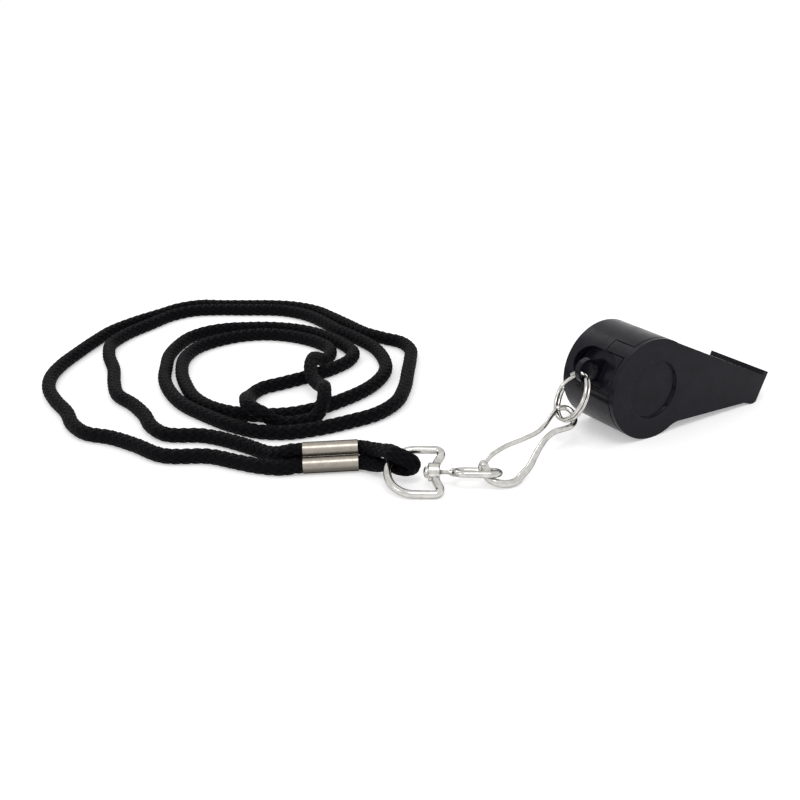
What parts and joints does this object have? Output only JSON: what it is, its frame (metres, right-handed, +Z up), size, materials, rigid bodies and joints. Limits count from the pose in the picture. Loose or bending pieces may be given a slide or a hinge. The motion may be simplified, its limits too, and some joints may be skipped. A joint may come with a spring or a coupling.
{
  "type": "sports whistle",
  "caption": "Pea whistle with a sloped mouthpiece and a side cover, on a split ring, a wire hook, a swivel D ring and a crimped neck cord.",
  "frame": {"origin": "on the table, half way along the whistle with its split ring and half way across it", "axes": "+X to the mouthpiece, +Y to the plain side, away from the side cover, +Z up"},
  "size_m": [0.1426, 0.1549, 0.023],
  "materials": {
    "plastic": "moulded, satin gloss",
    "cork": "cork",
    "ring_wire": "polished spring wire",
    "hook_wire": "nickel plated wire",
    "sleeve": "nickel plated sleeve",
    "cord": "braided"
  },
  "bodies": {
    "whistle": {"body_shell": "plastic", "side_cover": "plastic"},
    "pea": {"pea": "cork"},
    "ring": {"split_ring": "ring_wire"},
    "hook": {"hook_body": "hook_wire"},
    "gate": {"hook_gate": "hook_wire"},
    "swivel": {"swivel_eye": "hook_wire"},
    "d_link": {"d_ring": "hook_wire"},
    "lanyard": {"ferrule": "sleeve", "cord_loop": "cord", "cord_bight": "cord"}
  },
  "joints": [
    {"name": "pea_roll", "type": "hinge", "parent": "whistle", "child": "pea", "pos_m": [-0.00767, 0, 0.01101], "axis": [0, 1, 0], "continuous": true},
    {"name": "ring_swing", "type": "hinge", "parent": "whistle", "child": "ring", "pos_m": [-0.0203, 0, 0.0162], "axis": [0, 1, 0], "range_deg": [-5, 80]},
    {"name": "hook_swing", "type": "hinge", "parent": "ring", "child": "hook", "pos_m": [-0.02685, -0.00164, 0.00676], "axis": [-0.0471, 0.8745, -0.4827], "range_deg": [-40, 60]},
    {"name": "gate_open", "type": "hinge", "parent": "hook", "child": "gate", "pos_m": [-0.05139, -0.00441, 0.00374], "axis": [-0.0229, -0.4786, 0.8777], "range_deg": [-3, 0], "stiffness_Nm_per_rad": 0.4},
    {"name": "swivel_swing", "type": "hinge", "parent": "hook", "child": "swivel", "pos_m": [-0.05126, -0.00798, 0.00179], "axis": [0.5394, -0.7451, -0.3922], "range_deg": [-20, 4]},
    {"name": "swivel_spin", "type": "hinge", "parent": "swivel", "child": "d_link", "pos_m": [-0.06057, 0.00004, 0.00343], "axis": [0.8236, -0.5661, -0.0349], "continuous": true},
    {"name": "cord_swing", "type": "hinge", "parent": "d_link", "child": "lanyard", "pos_m": [-0.0659, 0.00742, 0.00516], "axis": [-0.9029, -0.2803, -0.326], "range_deg": [-30, 60]}
  ]
}
